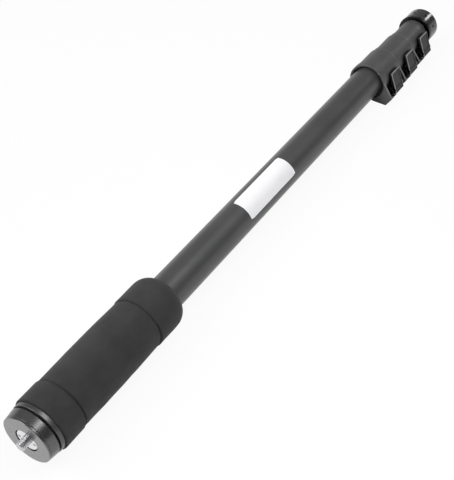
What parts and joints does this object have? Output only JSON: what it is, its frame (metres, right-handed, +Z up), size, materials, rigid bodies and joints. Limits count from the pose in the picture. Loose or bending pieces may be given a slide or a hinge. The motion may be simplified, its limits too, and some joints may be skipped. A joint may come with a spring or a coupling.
{
  "type": "camera monopod",
  "caption": "Folded telescopic camera monopod with a foam grip, a round platform with a screw stud, flip-lever tube locks and a twist foot that drives out a spike.",
  "frame": {"origin": "centre of the camera platform's face, on the tube axis", "axes": "+X along the tubes from the platform to the foot, +Z up as it lies in the picture, lock levers towards -Y"},
  "size_m": [0.5498, 0.0443, 0.0404],
  "materials": {
    "platform": "satin face, black anodised side",
    "stud": "bright plated",
    "steel": "plain",
    "brass": "plain",
    "dark_fibre": "matte",
    "head_gloss": "glossy black anodised",
    "foam": "closed-cell foam, matte",
    "label": "satin film",
    "tube": "dark satin anodised",
    "bush": "natural nylon",
    "lock_plastic": "fine moulded texture",
    "lever_plastic": "moulded, satin edges",
    "foot_ring": "black anodised",
    "foot_gloss": "glossy",
    "rubber": "matte"
  },
  "bodies": {
    "mast": {"platform_disc": "platform", "camera_stud": "stud", "stud_nut": "steel", "head_washer": "dark_fibre", "head_plug": "head_gloss", "plug_grub_screws": "steel", "foam_grip": "foam", "label": "label", "tube_1": "tube", "lock_collar_1": "lock_plastic", "lever_pin_1": "steel", "collar_screw_1": "steel"},
    "section_2": {"tube_2": "tube", "guide_bush_2": "bush", "lock_collar_2": "lock_plastic", "lever_pin_2": "steel", "collar_screw_2": "steel"},
    "section_3": {"tube_3": "tube", "guide_bush_3": "bush", "lock_collar_3": "lock_plastic", "lever_pin_3": "steel", "collar_screw_3": "steel"},
    "section_4": {"tube_4": "tube", "guide_bush_4": "bush", "foot_ring": "foot_ring", "foot_plug": "lock_plastic", "foot_clip": "steel"},
    "lever_1": {"lock_lever_1": "lever_plastic"},
    "lever_2": {"lock_lever_2": "lever_plastic"},
    "lever_3": {"lock_lever_3": "lever_plastic"},
    "shoe_1": {"brake_shoe_1": "bush"},
    "shoe_2": {"brake_shoe_2": "bush"},
    "shoe_3": {"brake_shoe_3": "bush"},
    "foot": {"foot_cup": "foot_gloss", "spike_nut": "brass", "foot_sole": "rubber"},
    "spike": {"spike": "steel"}
  },
  "joints": [
    {"name": "section_2_slide", "type": "slide", "parent": "mast", "child": "section_2", "axis": [1, 0, 0], "range_m": [0, 0.39]},
    {"name": "section_3_slide", "type": "slide", "parent": "section_2", "child": "section_3", "axis": [1, 0, 0], "range_m": [0, 0.39]},
    {"name": "section_4_slide", "type": "slide", "parent": "section_3", "child": "section_4", "axis": [1, 0, 0], "range_m": [0, 0.39]},
    {"name": "lever_1_flip", "type": "hinge", "parent": "mast", "child": "lever_1", "pos_m": [0.4495, -0.01945, -0.00766], "axis": [1, 0, 0], "range_deg": [0, 120]},
    {"name": "shoe_1_press", "type": "slide", "parent": "mast", "child": "shoe_1", "axis": [0, -0.9304, -0.3665], "range_m": [0, 0.00036]},
    {"name": "lever_2_flip", "type": "hinge", "parent": "section_2", "child": "lever_2", "pos_m": [0.4808, -0.01796, -0.00707], "axis": [1, 0, 0], "range_deg": [0, 120]},
    {"name": "shoe_2_press", "type": "slide", "parent": "section_2", "child": "shoe_2", "axis": [0, -0.9304, -0.3665], "range_m": [0, 0.00036]},
    {"name": "lever_3_flip", "type": "hinge", "parent": "section_3", "child": "lever_3", "pos_m": [0.5121, -0.01647, -0.00649], "axis": [1, 0, 0], "range_deg": [0, 120]},
    {"name": "shoe_3_press", "type": "slide", "parent": "section_3", "child": "shoe_3", "axis": [0, -0.9304, -0.3665], "range_m": [0, 0.00036]},
    {"name": "foot_turn", "type": "hinge", "parent": "section_4", "child": "foot", "pos_m": [0.5284, 0, 0], "axis": [1, 0, 0], "range_deg": [0, 1800]},
    {"name": "spike_slide", "type": "slide", "parent": "section_4", "child": "spike", "axis": [1, 0, 0], "range_m": [0, 0.01001]}
  ],
  "couplings": [
    {"joint": "shoe_1_press", "follows": "lever_1_flip", "m_per_rad": 0.00016711},
    {"joint": "shoe_2_press", "follows": "lever_2_flip", "m_per_rad": 0.00016711},
    {"joint": "shoe_3_press", "follows": "lever_3_flip", "m_per_rad": 0.00016711},
    {"joint": "spike_slide", "follows": "foot_turn", "m_per_rad": 0.00031831}
  ]
}
